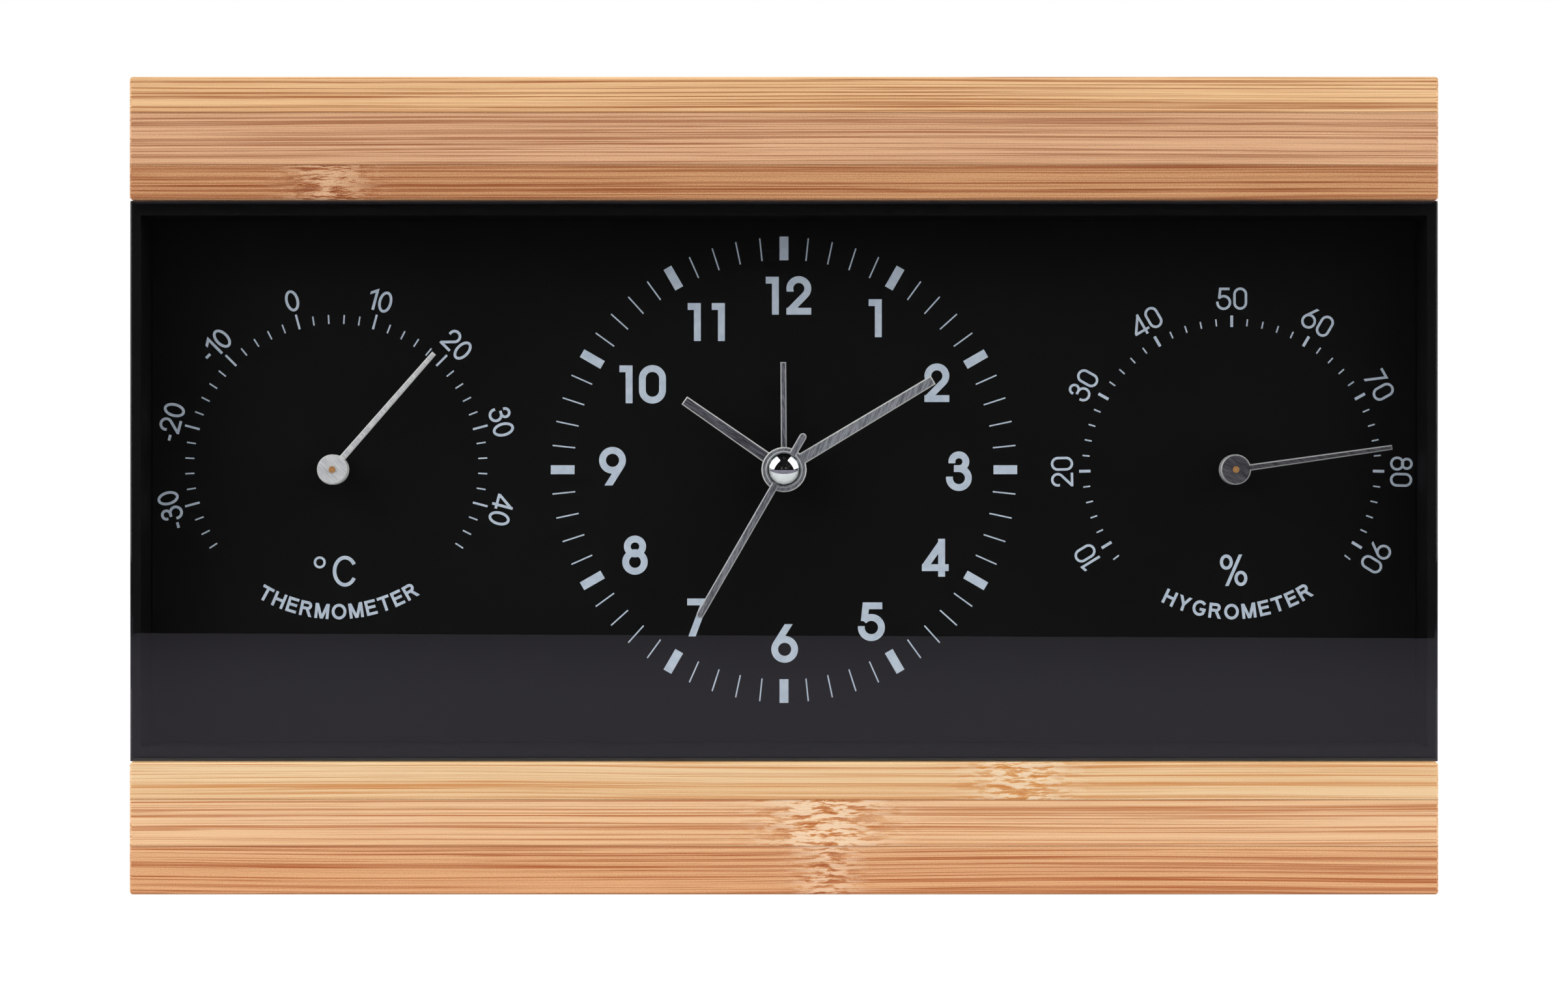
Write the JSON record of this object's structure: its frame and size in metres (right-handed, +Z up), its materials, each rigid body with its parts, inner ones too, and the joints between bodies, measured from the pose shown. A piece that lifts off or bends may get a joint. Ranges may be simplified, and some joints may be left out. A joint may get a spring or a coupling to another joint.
{
  "type": "table clock with thermometer and hygrometer",
  "caption": "Table clock with a thermometer and a hygrometer beside the dial, under one glass sheet held between two laminated bamboo rails, with an alarm hand and quartz movement",
  "frame": {"origin": "middle of the base, on the table", "axes": "+X to the right seen from the front, the dial looks towards -Y, +Z up; the long side runs along X and the thin side along Y"},
  "size_m": [0.2, 0.05, 0.125],
  "materials": {
    "bamboo": "laminated bamboo with a thin satin lacquer, fine lines of grain along the rail",
    "screw_steel": "plain machined steel",
    "black_plastic": "moulded black plastic, fine satin texture",
    "clear_glass": "clear polished float glass with a small ground edge",
    "black_dial": "matt black paint with a pale grey screen print",
    "gauge_brass": "turned and stamped brass, unlacquered",
    "hand_metal": "brushed aluminium with bright bevelled edges",
    "spring_steel": "rolled spring strip",
    "chrome_cap": "polished chrome plate",
    "wheel_plastic": "moulded ivory plastic",
    "wheel_brass": "turned brass",
    "magnet_iron": "sintered magnet, dull grey",
    "clear_plate": "moulded pale plastic",
    "motor_iron": "stamped soft iron sheet",
    "bobbin_plastic": "moulded white plastic",
    "copper_wire": "enamelled copper wire, closely wound",
    "board_laminate": "green solder mask over glass laminate",
    "battery_jacket": "plain printed sleeve over a steel can"
  },
  "bodies": {
    "shell": {"bottom_rail": "bamboo", "top_rail": "bamboo", "rail_screws": "screw_steel", "housing": "black_plastic", "front_lens": "clear_glass", "dial_plate": "black_dial", "rear_cover": "black_plastic", "rear_cover_screws": "screw_steel", "thermometer_frame": "gauge_brass", "thermometer_bridge": "gauge_brass", "bimetal_coil": "spring_steel", "hygrometer_frame": "gauge_brass", "hygrometer_bridge": "gauge_brass", "humidity_coil": "spring_steel", "movement_front_case": "black_plastic", "movement_rear_case": "black_plastic", "movement_screws": "screw_steel", "middle_plate": "clear_plate", "train_bridge": "clear_plate", "stator": "motor_iron", "coil_core": "motor_iron", "coil_bobbin": "bobbin_plastic", "coil_winding": "copper_wire", "circuit_board": "board_laminate", "quartz_crystal": "screw_steel", "buzzer": "black_plastic", "battery": "battery_jacket", "battery_contact_plus": "spring_steel", "battery_contact_minus": "spring_steel"},
    "second": {"second_hand": "hand_metal", "centre_cap": "chrome_cap", "seconds_wheel": "wheel_plastic"},
    "third": {"third_wheel": "wheel_plastic"},
    "centre": {"centre_wheel": "wheel_plastic"},
    "intermediate": {"intermediate_wheel": "wheel_plastic"},
    "rotor": {"rotor_pinion": "wheel_plastic", "rotor_magnet": "magnet_iron"},
    "minute": {"minute_hand": "hand_metal", "minute_pipe": "wheel_brass"},
    "motion": {"motion_wheel": "wheel_plastic"},
    "hour": {"hour_hand": "hand_metal", "hour_wheel": "wheel_plastic"},
    "time_knob": {"time_set_shaft": "wheel_plastic", "time_set_knob": "black_plastic"},
    "alarm": {"alarm_hand": "hand_metal", "alarm_wheel": "wheel_plastic"},
    "alarm_knob": {"alarm_set_shaft": "wheel_plastic", "alarm_set_knob": "black_plastic"},
    "switch": {"alarm_switch": "black_plastic"},
    "door": {"battery_door": "black_plastic"},
    "thermometer": {"thermometer_pointer": "hand_metal", "thermometer_arbor": "gauge_brass"},
    "hygrometer": {"hygrometer_pointer": "hand_metal", "hygrometer_arbor": "gauge_brass"}
  },
  "joints": [
    {"name": "second_turn", "type": "hinge", "parent": "shell", "child": "second", "pos_m": [0, -0.0189, 0.065], "axis": [0, 1, 0], "continuous": true},
    {"name": "minute_turn", "type": "hinge", "parent": "shell", "child": "minute", "pos_m": [0, -0.0177, 0.065], "axis": [0, 1, 0], "continuous": true},
    {"name": "hour_turn", "type": "hinge", "parent": "shell", "child": "hour", "pos_m": [0, -0.0165, 0.065], "axis": [0, 1, 0], "continuous": true},
    {"name": "alarm_turn", "type": "hinge", "parent": "shell", "child": "alarm", "pos_m": [0, -0.0153, 0.065], "axis": [0, 1, 0], "continuous": true},
    {"name": "centre_turn", "type": "hinge", "parent": "shell", "child": "centre", "pos_m": [0, -0.0052, 0.065], "axis": [0, 1, 0], "continuous": true},
    {"name": "third_turn", "type": "hinge", "parent": "shell", "child": "third", "pos_m": [0, -0.004, 0.074], "axis": [0, 1, 0], "continuous": true},
    {"name": "intermediate_turn", "type": "hinge", "parent": "shell", "child": "intermediate", "pos_m": [0.00869, -0.0016, 0.06733], "axis": [0, 1, 0], "continuous": true},
    {"name": "rotor_turn", "type": "hinge", "parent": "shell", "child": "rotor", "pos_m": [0.01219, -0.0004, 0.07339], "axis": [0, 1, 0], "continuous": true},
    {"name": "motion_turn", "type": "hinge", "parent": "shell", "child": "motion", "pos_m": [-0.00786, -0.008, 0.05949], "axis": [0, 1, 0], "continuous": true},
    {"name": "time_knob_turn", "type": "hinge", "parent": "shell", "child": "time_knob", "pos_m": [-0.01746, 0.0113, 0.05949], "axis": [0, 1, 0], "continuous": true},
    {"name": "alarm_knob_turn", "type": "hinge", "parent": "shell", "child": "alarm_knob", "pos_m": [0.01066, 0.0113, 0.0595], "axis": [0, 1, 0], "continuous": true},
    {"name": "switch_slide", "type": "slide", "parent": "shell", "child": "switch", "axis": [1, 0, 0], "range_m": [0, 0.003]},
    {"name": "door_hinge", "type": "hinge", "parent": "shell", "child": "door", "pos_m": [0, 0.0104, 0.03955], "axis": [-1, 0, 0], "range_deg": [0, 75]},
    {"name": "thermometer_turn", "type": "hinge", "parent": "shell", "child": "thermometer", "pos_m": [-0.0698, -0.013, 0.065], "axis": [0, 1, 0], "range_deg": [-164.2, 81.8]},
    {"name": "hygrometer_turn", "type": "hinge", "parent": "shell", "child": "hygrometer", "pos_m": [0.0698, -0.013, 0.065], "axis": [0, 1, 0], "range_deg": [-208.9, 45.6]}
  ],
  "couplings": [
    {"joint": "third_turn", "follows": "second_turn", "ratio": -0.13333},
    {"joint": "centre_turn", "follows": "second_turn", "ratio": 0.016667},
    {"joint": "intermediate_turn", "follows": "second_turn", "ratio": -5},
    {"joint": "rotor_turn", "follows": "second_turn", "ratio": 30},
    {"joint": "motion_turn", "follows": "minute_turn", "ratio": -0.33333},
    {"joint": "hour_turn", "follows": "minute_turn", "ratio": 0.083333},
    {"joint": "time_knob_turn", "follows": "minute_turn", "ratio": 1},
    {"joint": "alarm_knob_turn", "follows": "alarm_turn", "ratio": -4}
  ]
}
